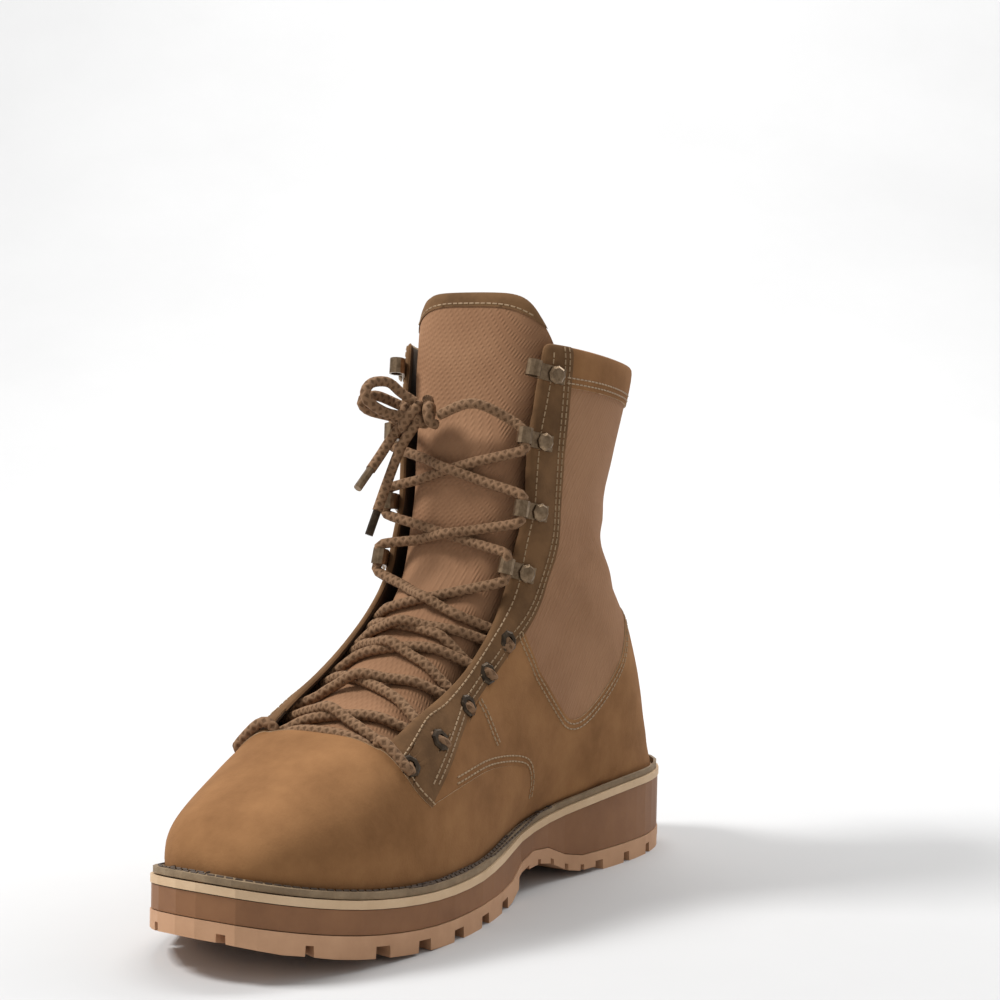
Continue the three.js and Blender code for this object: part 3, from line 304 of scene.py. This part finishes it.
def crease_depth(y, z, x):
    """How far the leather is pressed in at a place, in mm; less on the outer side."""
    total = 0.0
    for cy, cz, long, wide, deep, lean in CREASES:
        angle = math.radians(lean)
        dy, dz = y - cy, z - cz
        along = (dy * math.cos(angle) + dz * math.sin(angle)) / long
        over = (-dy * math.sin(angle) + dz * math.cos(angle)) / wide
        side = 1.0 if x > 0 else 0.8
        trough = math.exp(-over * over)
        ridge = 0.45 * math.exp(-(over - 1.7) ** 2)
        total += side * deep * math.exp(-along * along) * (trough - ridge)
    return total


skin = smooth_shell("upper", "upper_shell", 2)
for vertex, normal in [(v, v.normal.copy()) for v in skin.data.vertices]:
    away = (vertex.co - core(vertex.co)).normalized()
    vertex.co -= away * MM * crease_depth(vertex.co.y / MM, vertex.co.z / MM, vertex.co.x)
give(skin, NYLON)
skin.data.materials.append(LINING)
work = bmesh.new()
work.from_mesh(skin.data)
work.normal_update()
for face in work.faces:
    face.material_index = 0 if faces_out(face) else 1
work.to_mesh(skin.data)
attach(skin, "root")
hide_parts("upper")

# The bare outside of the shell, from which every leather panel is cut.
outside = twin(skin, "outside")
bmesh.ops.delete(work, geom=[f for f in work.faces if not faces_out(f)], context="FACES")
work.to_mesh(outside.data)
skin_tree = BVHTree.FromBMesh(work)
work.free()


def corners_round(points, i):
    """The four points round the stretch that starts at point i."""
    last = len(points) - 1
    return [Vector(points[min(max(i + k, 0), last)]) for k in (-1, 0, 1, 2)]


def on_spline(a, b, c, d, t):
    """The Catmull-Rom spline's point at the share t of the way from b to c."""
    return 0.5 * (2 * b + (c - a) * t + (2 * a - 5 * b + 4 * c - d) * t * t
                  + (3 * b - a - 3 * c + d) * t ** 3)


def rounded(points, steps=6):
    """A smooth line through the points."""
    line = []
    for i in range(len(points) - 1):
        line += [on_spline(*corners_round(points, i), j / steps) for j in range(steps)]
    return line + [Vector(points[-1])]


def cutter(outline, low, high):
    """A block standing across the boot, whose side view is the outline in mm."""
    mesh = bpy.data.meshes.new("cutter")
    count = len(outline)
    verts = [(x * MM, p[0] * MM, p[1] * MM) for x in (low, high) for p in outline]
    faces = [list(range(count))[::-1], list(range(count, 2 * count))]
    faces += [[i, (i + 1) % count, (i + 1) % count + count, i + count] for i in range(count)]
    mesh.from_pydata(verts, [], faces)
    block = bpy.data.objects.new("cutter", mesh)
    bpy.context.scene.collection.objects.link(block)
    select_only(block)
    bpy.ops.object.mode_set(mode="EDIT")
    bpy.ops.mesh.select_all(action="SELECT")
    bpy.ops.mesh.normals_make_consistent(inside=False)
    bpy.ops.object.mode_set(mode="OBJECT")
    return block


PANEL_SUNK = 0.5                     # how deep a panel starts below the shell's surface, mm
BOTH_SIDES = (-80, 80)               # x from the outer to the inner side, mm


def panel(name, outline, thick, materials):
    """Leather of that thickness on the shell, cut to the outline; its cut edge shows raw."""
    obj = twin(outside, name)
    obj.data.materials.clear()
    for material in materials:
        obj.data.materials.append(material)
    for face in obj.data.polygons:
        face.material_index = 0
    sink = obj.modifiers.new("sink", "DISPLACE")
    sink.strength, sink.mid_level = -PANEL_SUNK * MM, 0.0
    wall = obj.modifiers.new("wall", "SOLIDIFY")
    wall.thickness, wall.offset = (thick + PANEL_SUNK) * MM, 1.0
    apply_all(obj)
    block = cutter(outline, *BOTH_SIDES)
    cut = obj.modifiers.new("cut", "BOOLEAN")
    cut.object, cut.operation, cut.solver = block, "INTERSECT", "MANIFOLD"
    apply_all(obj)
    bpy.data.objects.remove(block)
    if len(materials) > 1:
        for face in obj.data.polygons:
            normal = skin_tree.find_nearest(face.center)[1]
            face.material_index = 1 if abs(face.normal.dot(normal)) < 0.55 else 0
    select_only(obj)
    bpy.ops.object.shade_smooth_by_angle(angle=math.radians(40))
    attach(obj, "root")
    return obj


# ---------------------------------------------------------------- upper: leather panels
# Rough-out leather cut flat, skived and sewn to the shell: quarters with the heel counter and
# back strap, a collar band, the vamp with its wings, and last the facings that carry the lace.
ROUGHOUT = finish_of("roughout_leather", (0.20, 0.092, 0.034), (0.315, 0.155, 0.062), 0.92, patches=26,
                     grain=1100, bump=0.5, depth=0.00025, sheen=0.35)
# Painted shade: a darker copy of the rough-out leather, worn by the facings and the tongue's binding.
SHADED = finish_of("painted_shade_leather", (0.115, 0.060, 0.026), (0.19, 0.10, 0.044), 0.92, patches=60,
                   grain=900, bump=0.5, depth=0.00025, sheen=0.3)
RAW_EDGE = finish_of("raw_leather_edge", (0.38, 0.26, 0.15), (0.52, 0.38, 0.24), 0.9, patches=200, bump=0.4)

# Seams in the side view, as (y, z) in mm. The same lines run on both sides of the boot.
FACING_SEAM = [(36.5, 232), (35.5, 215), (34.6, 197), (32.8, 160), (27.4, 132), (16, 112.7), (-9, 94.4),
               (-33, 80), (-53.6, 64), (-63.6, 56), (-70, 51)]
WING_TOP = [(13, 30), (16, 40), (14, 49), (6, 54.4), (-21, 57.4), (-50, 55), (-70, 51)]
THROAT_CORNER = [(-70, 51), (-76, 57), (-79.5, 66), (-81, 80)]
NYLON_EDGE = [(10, 108), (19, 94), (33, 79), (47.5, 68), (64, 71), (84, 84), (97, 102), (102, 125),
              (103, 150), (106, 180), (110, 200)]
COLLAR_SEAM = [(33, 206), (60, 203.5), (95, 199), (140, 193)]

quarter_outline = rounded(NYLON_EDGE)
quarter_outline += [Vector((170, 200)), Vector((170, 20)), Vector((10, 20))]
quarter_outline += rounded(WING_TOP) + rounded(FACING_SEAM[::-1])[6:-20]
collar_outline = rounded(COLLAR_SEAM) + [Vector((140, 240)), Vector((33, 240))]
vamp_outline = rounded(WING_TOP) + rounded(THROAT_CORNER)[1:]
vamp_outline += [Vector((-90, 110)), Vector((-170, 110)), Vector((-170, 20)), Vector((5, 20))]
facing_outline = rounded(FACING_SEAM) + rounded(THROAT_CORNER)[1:]
facing_outline += [Vector((-70, 120)), Vector((-30, 150)), Vector((-20, 240)), Vector((36, 240))]

quarter = panel("quarters", quarter_outline, 0.5, [ROUGHOUT, RAW_EDGE])
collar = panel("collar_band", collar_outline, 0.8, [ROUGHOUT, RAW_EDGE])
vamp = panel("vamp", vamp_outline, 0.8, [ROUGHOUT, RAW_EDGE])
# The facings take the darker copy of the rough-out leather, which is painted shade.
facing = panel("facings", facing_outline, 1.0, [SHADED, RAW_EDGE])
bpy.data.objects.remove(outside)

# ---------------------------------------------------------------- tongue
# A padded sheet of the same nylon, bound along its top with leather, sewn in under the vamp.
tongue = smooth_shell("tongue", "tongue_sheet", 2)
give(tongue, NYLON)
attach(tongue, "root")
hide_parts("tongue")

TONGUE_TOP = max(v.co.z for v in tongue.data.vertices) / MM
near_top = [v.co.x / MM for v in tongue.data.vertices if v.co.z / MM > TONGUE_TOP - 24]
TONGUE_MIDDLE = (max(near_top) + min(near_top)) / 2
TONGUE_HALF = (max(near_top) - min(near_top)) / 2
BINDING_WIDTH, BINDING_DROP, BINDING_PROUD = 5.5, 11.0, 0.45


def under_binding(share, shift=0.0):
    """Front-view point on the binding's lower edge, at that share of the half width."""
    drop = BINDING_WIDTH + BINDING_DROP * abs(share) ** 4
    return Vector((TONGUE_MIDDLE + share * TONGUE_HALF, TONGUE_TOP - drop + shift))


shares = [-1.1 + 2.2 * k / 24 for k in range(25)]
outline = [under_binding(share) for share in shares]
outline += [Vector((TONGUE_MIDDLE + side * 1.3 * TONGUE_HALF, TONGUE_TOP + 10)) for side in (1, -1)]
binding = twin(tongue, "tongue_binding")
swell = binding.modifiers.new("swell", "DISPLACE")
swell.strength, swell.mid_level = BINDING_PROUD * MM, 0.0
apply_all(binding)
block = cutter([(-spot.x, spot.y) for spot in outline], *BOTH_SIDES)
block.rotation_euler.z = math.radians(90)
select_only(block)
bpy.ops.object.transform_apply(rotation=True)
cut = binding.modifiers.new("cut", "BOOLEAN")
cut.object, cut.operation, cut.solver = block, "INTERSECT", "MANIFOLD"
apply_all(binding)
bpy.data.objects.remove(block)
# The binding takes the same painted shade, the darker copy of the rough-out leather.
give(binding, SHADED)
bpy.ops.object.shade_smooth_by_angle(angle=math.radians(50))
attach(binding, "root")

# ---------------------------------------------------------------- seams
# Rows of waxed thread. Each row is one short stitch repeated along the line of the seam.
THREAD = finish_of("waxed_thread", (0.30, 0.19, 0.10), (0.40, 0.27, 0.15), 0.6, patches=300, bump=0.2)
cover_tree = tree_of(skin, quarter, collar, vamp, facing)


def on_side(line, side, lift=0.0):
    """The side-view line laid on the boot's outer or inner face."""
    spots = []
    for point in line:
        start = Vector((side * 0.12, point[0] * MM, point[1] * MM))
        hit, normal = cover_tree.ray_cast(start, Vector((-side, 0, 0)))[:2]
        if hit is not None:
            spots.append(hit + normal * lift)
    return spots


def beside(line, shift):
    """The line moved sideways in the side view; positive is to its left."""
    moved = []
    for i, point in enumerate(line):
        along = Vector(line[min(i + 1, len(line) - 1)]) - Vector(line[max(i - 1, 0)])
        moved.append(Vector(point) + Vector((-along.y, along.x)).normalized() * shift)
    return moved


def curve_through(name, spots, radius=0.0, sides=3):
    """A curve object through the spots, with the thickness of that radius."""
    data = bpy.data.curves.new(name, "CURVE")
    data.dimensions = "3D"
    data.bevel_depth = radius
    data.bevel_resolution = sides
    data.use_fill_caps = True
    spline = data.splines.new("POLY")
    spline.points.add(len(spots) - 1)
    for point, spot in zip(spline.points, spots):
        point.co = (*spot, 1)
    obj = bpy.data.objects.new(name, data)
    bpy.context.scene.collection.objects.link(obj)
    return obj


def stitches(name, spots, material, pitch=2.7, length=2.0, radius=0.34):
    """A row of stitches along the spots, sizes in mm."""
    guide = curve_through(name + "_guide", spots)
    bpy.ops.object.select_all(action="DESELECT")
    bpy.ops.mesh.primitive_cylinder_add(vertices=6, radius=radius * MM, depth=length * MM,
                                        rotation=(0, math.radians(90), 0))
    row = bpy.context.object
    row.name = row.data.name = name
    bpy.ops.object.transform_apply(rotation=True)
    repeat = row.modifiers.new("repeat", "ARRAY")
    repeat.fit_type, repeat.curve = "FIT_CURVE", guide
    repeat.use_relative_offset, repeat.use_constant_offset = False, True
    repeat.constant_offset_displace = (pitch * MM, 0, 0)
    follow = row.modifiers.new("follow", "CURVE")
    follow.object, follow.deform_axis = guide, "POS_X"
    apply_all(row)
    bpy.data.objects.remove(guide)
    give(row, material)
    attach(row, "root")
    return row


# The free edge of the facing, in the side view.
FACING_EDGE = [(-76, 73), (-58, 83.5), (-43, 88.5), (-26, 97), (-8.5, 110), (2, 121), (7.5, 132),
               (11.7, 152.5), (16.5, 184.6), (21.5, 209), (23.5, 222)]
# Each seam: its line, and how far each of its rows lies beside it, in mm.
SEAMS = {
    "facing_outer": (FACING_SEAM[:-1], (-2.0, -4.4)),
    "facing_inner": (FACING_EDGE, (-3.0,)),
    "facing_front": (THROAT_CORNER, (-2.0,)),
    "wing": (WING_TOP[1:-1], (-1.8, -4.0)),
    "quarter": (NYLON_EDGE, (-1.8, -4.0)),
    "quarter_front": ([(-24, 83), (-18, 71), (-14, 65)], (0.0, 2.2)),
    "collar": (COLLAR_SEAM[:-1], (1.8, 4.0)),
}
for seam_name, (line, shifts) in SEAMS.items():
    for side, side_name in ((1, "medial"), (-1, "lateral")):
        for k, shift in enumerate(shifts):
            spots = on_side(beside(rounded(line), shift), side, 0.1 * MM)
            if len(spots) > 3:
                stitches(f"stitch_{seam_name}_{side_name}_{k + 1}", spots, THREAD)

binding_tree = tree_of(binding)
spots = []
for share in shares:
    spot = under_binding(share, 1.3)
    hit = binding_tree.ray_cast(Vector((spot.x * MM, -0.2, spot.y * MM)), Vector((0, 1, 0)))[0]
    if hit is not None:
        spots.append(hit)
if len(spots) > 3:
    stitches("stitch_tongue", spots, THREAD)

# ---------------------------------------------------------------- sole stack
# Moulded rubber in three layers, cemented together: a lugged outsole, a brown midsole and a
# thin cream runner that shows as a line.
TAN_RUBBER = finish_of("tan_rubber", (0.48, 0.26, 0.14), (0.58, 0.33, 0.185), 0.7,
                       patches=40, grain=500, bump=0.15)
BROWN_RUBBER = finish_of("brown_rubber", (0.20, 0.082, 0.028), (0.27, 0.118, 0.044), 0.62,
                         patches=30, grain=500, bump=0.15)
CREAM_RUBBER = finish_of("cream_rubber", (0.60, 0.41, 0.24), (0.70, 0.50, 0.31), 0.65,
                         patches=40, bump=0.1)
SOLE_EDGE_ANGLE = math.radians(28)
for node, material in (("outsole", TAN_RUBBER), ("midsole", BROWN_RUBBER), ("runner", CREAM_RUBBER)):
    give(nodes[node], material)
    select_only(nodes[node])
    bpy.ops.object.shade_smooth_by_angle(angle=SOLE_EDGE_ANGLE)

# ---------------------------------------------------------------- insole
# A die-cut cloth-faced sheet lying in the shell.
insole = copy_of("insole", "insole_sheet")
give(insole, LINING)
soften = insole.modifiers.new("soften", "BEVEL")
soften.width, soften.segments = 0.8 * MM, 2
apply_all(insole)
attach(insole, "root")
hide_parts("insole")

# ---------------------------------------------------------------- welt
# A strip of leather sewn round the foot of the upper and through the runner, with a raised
# lip against the upper.
WELT = finish_of("welt_leather", (0.20, 0.135, 0.075), (0.29, 0.205, 0.12), 0.75,
                 patches=120, grain=900, bump=0.4)
DARK_THREAD = finish_of("dark_thread", (0.05, 0.03, 0.018), (0.09, 0.055, 0.03), 0.6, patches=300, bump=0.2)
give(nodes["welt"], WELT)
select_only(nodes["welt"])
bpy.ops.object.shade_smooth_by_angle(angle=SOLE_EDGE_ANGLE)
welt_tree = tree_of(nodes["welt"])
ROUND = [(math.cos(math.radians(a)), math.sin(math.radians(a))) for a in range(0, 360, 2)]
STITCHES_IN = 0.0026                 # from the welt's edge to its row of stitches
HEIGHTS = [step * 0.0007 for step in range(28, 64)]
THREAD_PROUD = Vector((0, 0, 0.15 * MM))


def round_the_foot(tree, lift_from, outwards):
    """Where rays from outside first meet the tree, all the way round the boot."""
    spots = []
    for x, y in ROUND:
        middle = Vector((0, 0.1 * math.copysign(1, y) * min(1, abs(y) * 4), 0))
        ray = Vector((x, y, 0))
        for height in lift_from:
            start = middle + ray * 0.3 + Vector((0, 0, height))
            hit = tree.ray_cast(start, -ray)[0]
            if hit is not None:
                spots.append(hit - ray * outwards)
                break
    return spots


def top_of_welt(spot):
    """The welt's upper face over or under the spot, if it is there."""
    return welt_tree.ray_cast(Vector((spot.x, spot.y, 0.1)), Vector((0, 0, -1)))[0]


ring = [top_of_welt(spot) for spot in round_the_foot(welt_tree, HEIGHTS, STITCHES_IN)]
ring = [spot + THREAD_PROUD for spot in ring if spot is not None]
stitches("stitch_welt", ring + ring[:1], DARK_THREAD, pitch=3.4, length=2.5, radius=0.45)

# ---------------------------------------------------------------- eyelets, clips and rivets
# Rolled and stamped brass with a dark antique finish: five eyelets, then four open clips on
# rivets, up each facing.
DARK_BRASS = finish_of("dark_brass", (0.035, 0.024, 0.015), (0.08, 0.055, 0.034), 0.38,
                       patches=300, metallic=0.85, bump=0.05)
BRASS = finish_of("antique_brass", (0.16, 0.105, 0.06), (0.30, 0.21, 0.13), 0.34,
                  patches=400, metallic=0.9, bump=0.08)
for node_name, obj in nodes.items():
    if node_name.startswith(("eyelet", "clip", "rivet")):
        give(obj, DARK_BRASS if node_name.startswith("eyelet") else BRASS)
        edge = obj.modifiers.new("edge", "BEVEL")
        edge.width, edge.segments, edge.angle_limit = 0.18 * MM, 2, math.radians(35)
        select_only(obj)
        bpy.ops.object.shade_smooth_by_angle(angle=math.radians(50))

# ---------------------------------------------------------------- lace
# One round braided lace. It starts as a bar across the lowest eyelets, comes out from under
# each facing, crosses the tongue and enters the next stop from outside, up to the third clips.
LACE_RADIUS = 2.1 * MM
BRAID_PITCH = 3.4 * MM
EYELETS, CLIPS_LACED = 5, 3          # stops on each side, from the bottom up
TOP = EYELETS + CLIPS_LACED - 1
ACROSS = Vector((1, 0, 0))
RING_REACH = 0.0066                  # from a clip's foremost point over its ring
STEPS = 16                           # along one crossing
CLIP_NEAR, CLIP_FAR = 2.5 * MM, 5.5 * MM
CLIP_CLEAR = 5 * MM
EYELET_OUT, EYELET_IN = 3.4 * MM, 1.2 * MM
UNDER_FACING = 4.2 * MM


def braid_material(name, length):
    """Two sets of strands wound round the cord, which show as rows of small chevrons."""
    def chevrons(tree, place):
        split = tree.nodes.new("ShaderNodeSeparateXYZ")
        tree.links.new(place.outputs["UV"], split.inputs["Vector"])

        def maths(kind, a, b=None):
            node = tree.nodes.new("ShaderNodeMath")
            node.operation = kind
            for slot, value in enumerate((a, b)):
                if value is None:
                    continue
                if isinstance(value, float):
                    node.inputs[slot].default_value = value
                else:
                    tree.links.new(value, node.inputs[slot])
            return node.outputs["Value"]

        along = maths("MULTIPLY", split.outputs["X"], 2 * math.pi * length / BRAID_PITCH)
        round_it = maths("MULTIPLY", split.outputs["Y"], 2 * math.pi * 3.0)
        left = maths("SINE", maths("ADD", along, round_it))
        right = maths("SINE", maths("SUBTRACT", along, round_it))
        return maths("MULTIPLY_ADD", maths("MAXIMUM", left, right), 0.5)

    return finish_of(name, (0.135, 0.072, 0.035), (0.245, 0.140, 0.075), 0.8, bump=0.8,
                     depth=0.0005, sheen=0.3, pattern=chevrons, woven=True)


def ring_middle(node):
    """The middle of a clip's ring, which is at its front."""
    spots = [v.co for v in nodes[node].data.vertices]
    tip = min(spots, key=lambda p: p.y)
    near = [p for p in spots if (Vector((p.x, p.y)) - Vector((tip.x, tip.y))).length < RING_REACH]
    return sum(near, Vector()) / len(near)


def middle_of(node):
    low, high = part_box(node)
    return (Vector(low) + Vector(high)) / 2


SIDES = {1: "medial", -1: "lateral"}
stops = {}
for side, word in SIDES.items():
    stops[side] = [middle_of(f"eyelet_{word}_{i + 1}") for i in range(EYELETS)]
    stops[side] += [ring_middle(f"clip_{word}_{i + 1}") for i in range(CLIPS_LACED)]
line_up = [(a + b) / 2 for a, b in zip(stops[1], stops[-1])]
rise = [(line_up[min(i + 1, TOP)] - line_up[max(i - 1, 0)]).normalized() for i in range(TOP + 1)]
tongue_tree = tree_of(tongue)


def resting(spot, out, lift, under=False):
    """The spot moved along out until a lace there lies on what is below it."""
    best = None
    for tree in (tongue_tree,) if under else (tongue_tree, cover_tree):
        hit, normal = tree.ray_cast(spot + out * 0.06, -out)[:2]
        if hit is not None and (best is None or (hit - best[0]).dot(out) > 0):
            best = (hit, normal)
    if best is None:
        return None
    hit, normal = best
    if normal.dot(out) < 0:
        normal = -normal
    return hit + (normal + out).normalized() * (LACE_RADIUS + lift)


def through_eyelet(middle):
    """Two points that take the lace in through the eyelet from outside."""
    normal = skin_tree.find_nearest(middle)[1]
    return [middle + normal * EYELET_OUT, middle - normal * EYELET_IN]


def strand(start, i, finish, j, over):
    """Middle line from stop i on the start side to stop j on the finish side."""
    a, b = stops[start][i], stops[finish][j]
    path = []
    from_eyelet, to_eyelet = i < EYELETS, j < EYELETS
    out_a = ACROSS.cross(rise[i])
    out_b = ACROSS.cross(rise[j])
    if from_eyelet:
        path += [a - skin_tree.find_nearest(a)[1] * UNDER_FACING]
    else:
        path += [a + rise[i] * CLIP_NEAR, a + rise[i] * CLIP_FAR]
        a = a + rise[i] * CLIP_CLEAR
    if not to_eyelet:
        b = b - rise[j] * CLIP_CLEAR
    for k in range(4, 12 + from_eyelet + to_eyelet):
        t = k / STEPS
        out = out_a.lerp(out_b, t).normalized()
        hump = 2 * LACE_RADIUS * 0.92 * math.exp(-((t - 0.5) / 0.1) ** 2) if over else 0
        spot = resting(a.lerp(b, t), out, 0.15 * MM + hump, under=(from_eyelet and t < 0.24))
        if spot is not None:
            path.append(spot)
    if to_eyelet:
        path += through_eyelet(b)
    else:
        path += [stops[finish][j] - rise[j] * CLIP_FAR, stops[finish][j] - rise[j] * CLIP_NEAR]
    return path


def half_lace(side):
    """One end's run from the lowest eyelet to its last clip, and the side that clip is on."""
    path = []
    for i in range(TOP):
        path += strand(side, i, -side, i + 1, over=(side > 0) == (i % 2 == 0))
        side = -side
    return path, side


def evened(path, gap=1.6 * MM, rounds=2):
    """The path with even steps and its kinks eased."""
    fine = []
    for i in range(len(path) - 1):
        around = corners_round(path, i)
        count = max(1, int((around[2] - around[1]).length / (gap / 2)))
        fine += [on_spline(*around, j / count) for j in range(count)]
    fine.append(path[-1])
    for _ in range(rounds):
        eased = [(a + 2 * b + c) / 4 for a, b, c in zip(fine, fine[1:], fine[2:])]
        fine = [fine[0], *eased, fine[-1]]
    steady, done = [fine[0]], 0.0
    for a, b in zip(fine, fine[1:]):
        done += (b - a).length
        if done >= gap:
            steady.append(b)
            done = 0.0
    return steady if (steady[-1] - fine[-1]).length < gap / 2 else steady + [fine[-1]]


def cord_piece(name, path):
    """A length of the lace along the path, and how long it is."""
    path = evened(path)
    length = sum((b - a).length for a, b in zip(path, path[1:]))
    obj = curve_through(name, path, LACE_RADIUS)
    give(obj, braid_material("lace_braid_" + name, length))
    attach(obj, "root")
    return obj, length


KNOT = Vector((-7.5, -0.5, 194)) * MM
outwards = ACROSS.cross(rise[0])
bar = [resting(stops[-1][0].lerp(stops[1][0], k / STEPS), outwards, 0.3 * MM) for k in range(2, STEPS - 1)]
bar = [spot for spot in bar if spot is not None]

# From the third clips to the knot: the inner side's strand has farther to go.
last_clip = {side: stops[side][TOP] for side in SIDES}
TO_KNOT = {
    1: [last_clip[1] + rise[TOP] * 2 * MM,
        last_clip[1] + rise[TOP] * 7 * MM + Vector((-0.006, -0.002, 0)),
        Vector((0.017, 0.0, 0.199)),
        KNOT + Vector((0.009, 0, 0))],
    -1: [last_clip[-1] + rise[TOP] * 2 * MM,
         last_clip[-1] + rise[TOP] * 6 * MM + Vector((0.004, -0.002, 0)),
         KNOT + Vector((-0.008, 0, -0.003))],
}
halves = {}
for side in SIDES:
    path, last_side = half_lace(side)
    halves[side] = through_eyelet(stops[side][0]) + path + TO_KNOT[last_side]
lace = cord_piece("lace", halves[-1][::-1] + bar + halves[1])[0]
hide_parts(*[n for n in nodes if n.startswith(("lace_cross", "lace_bar", "lace_tie"))])

# ---------------------------------------------------------------- bow
# The lace's two ends tied over the tongue in a small bow, with a metal tag on each end.
KNOT_POINTS, KNOT_LENGTH, POINTS_PER_TURN = 40, 15, 14
turns = []
for k in range(KNOT_POINTS):
    a = 2 * math.pi * k / POINTS_PER_TURN
    x = KNOT_LENGTH * (k / (KNOT_POINTS - 1) - 0.5)
    turns.append(KNOT + Vector((x, 3.4 * math.cos(a) - 0.8, 4.0 * math.sin(a))) * MM)
knot = cord_piece("bow_knot", turns)[0]
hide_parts("lace_knot")

# One more turn, wound round the knot's middle. It stops just short of a full turn.
WRAP_POINTS, WRAP_STEPS = 17, 18
wrap = []
for k in range(WRAP_POINTS):
    a = 2 * math.pi * k / WRAP_STEPS
    place = Vector((
        -1.5 + 5.2 * math.cos(a),
        -1.2 + 5.8 * math.sin(a),
        1.2 * math.sin(a) + 6 * math.cos(a),
    ))
    wrap.append(KNOT + place * MM)
knot_wrap = cord_piece("bow_wrap", wrap)[0]

# The routes of the loops and ends, in mm, from the knot outwards.
BOW = {
    "small_loop": [[-10, -2, 195], [-17.6, -4.5, 198.5], [-21.9, -12, 201.3], [-25, -17.2, 199.4],
                   [-24.3, -14, 195.4], [-18, -4.4, 192.6], [-10, -2, 190.3]],
    "large_loop": [[-8, -4, 199], [-12.5, -7.6, 202.6], [-15.9, -12, 206.8], [-19.5, -19.4, 206],
                   [-19.2, -23, 200.3], [-15.9, -15, 195], [-12, -8, 193.4], [-7, -4, 193]],
    "short_end": [[-6, -2, 195], [-9, -3, 193], [-14.6, -4.4, 188.6], [-17.9, -6, 184],
                  [-20.9, -9.5, 176.9], [-21.8, -14.8, 171.3]],
    "long_end": [[-6, -4, 192], [-9.4, -4.4, 187.4], [-14, -5, 180.2], [-18.5, -7, 167],
                 [-20.8, -11, 154.6]],
}
for part, rows in BOW.items():
    route = [Vector(row) * MM for row in rows]
    piece, length = cord_piece("bow_" + part, route)
    word, kind = part.split("_")
    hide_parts(f"lace_{kind}_{word}")
    if kind == "end":
        tag = nodes["aglet_" + word]
        give(tag, BRASS if word == "short" else DARK_BRASS)
        select_only(tag)
        bpy.ops.object.shade_smooth_by_angle(angle=math.radians(50))
